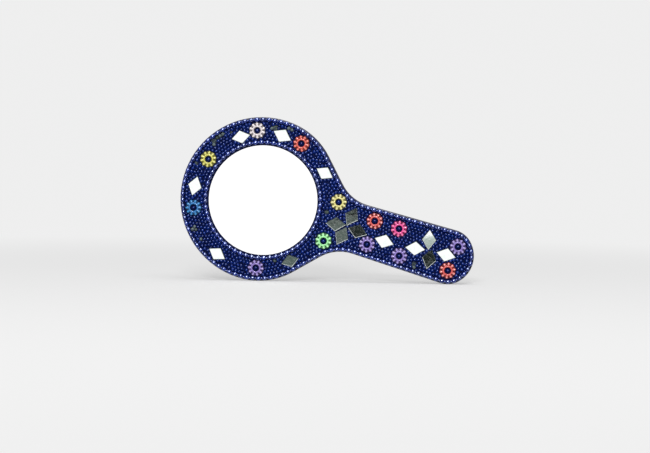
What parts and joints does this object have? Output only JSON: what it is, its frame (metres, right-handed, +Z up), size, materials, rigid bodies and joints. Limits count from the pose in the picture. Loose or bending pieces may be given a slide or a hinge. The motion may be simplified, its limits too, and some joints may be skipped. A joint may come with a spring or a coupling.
{
  "type": "beaded lac hand mirror",
  "caption": "Paddle-shaped hand mirror with a round glass, its lac front set with blue beads, moulded flowers and lozenge mirrors.",
  "frame": {"origin": "floor point under the middle of the mirror as it stands on its edge", "axes": "+Z up, +X along the floor from the head to the handle's end, mirror glass faces -Y"},
  "size_m": [0.1794, 0.0112, 0.0998],
  "materials": {
    "board": "raw sawn board, hidden",
    "lac_coat": "dark lac, rubbed to a shine",
    "lac_bed": "dark olive lac, pressed by hand",
    "mirror": "silvered glass",
    "lozenge_mirror": "cut pieces of thin mirror glass",
    "string_bead": "pearly cobalt blue beads",
    "seed_bead": "glossy dark navy beads",
    "flower_yellow": "glossy moulded flower",
    "flower_white": "glossy moulded flower",
    "flower_orange": "glossy moulded flower",
    "flower_blue": "glossy moulded flower",
    "flower_violet": "glossy moulded flower",
    "flower_cream": "glossy moulded flower",
    "flower_green": "glossy moulded flower",
    "flower_red": "glossy moulded flower",
    "flower_pink": "glossy moulded flower"
  },
  "bodies": {
    "root": {"paddle_board": "board", "lac_back_shell": "lac_coat", "front_lac_bed": "lac_bed", "mirror_lac_pad": "lac_bed", "mirror_glass": "mirror", "rim_beads": "string_bead", "mirror_ring_beads": "string_bead", "field_beads": "seed_bead", "flower_centre_beads": "seed_bead", "flower_01_yellow": "flower_yellow", "flower_02_white": "flower_white", "flower_03_orange": "flower_orange", "flower_04_blue": "flower_blue", "flower_05_violet": "flower_violet", "flower_06_cream": "flower_cream", "flower_07_green": "flower_green", "flower_08_red": "flower_red", "flower_09_pink": "flower_pink", "flower_10_violet": "flower_violet", "flower_11_violet": "flower_violet", "flower_12_violet": "flower_violet", "flower_13_red": "flower_red", "lozenge_01": "lozenge_mirror", "lozenge_02": "lozenge_mirror", "lozenge_03": "lozenge_mirror", "lozenge_04": "lozenge_mirror", "lozenge_05": "lozenge_mirror", "lozenge_06": "lozenge_mirror", "lozenge_07": "lozenge_mirror", "lozenge_08": "lozenge_mirror", "lozenge_09": "lozenge_mirror", "lozenge_10": "lozenge_mirror", "lozenge_11": "lozenge_mirror", "lozenge_12": "lozenge_mirror", "lozenge_13": "lozenge_mirror", "lozenge_14": "lozenge_mirror", "lozenge_15": "lozenge_mirror"}
  },
  "joints": []
}
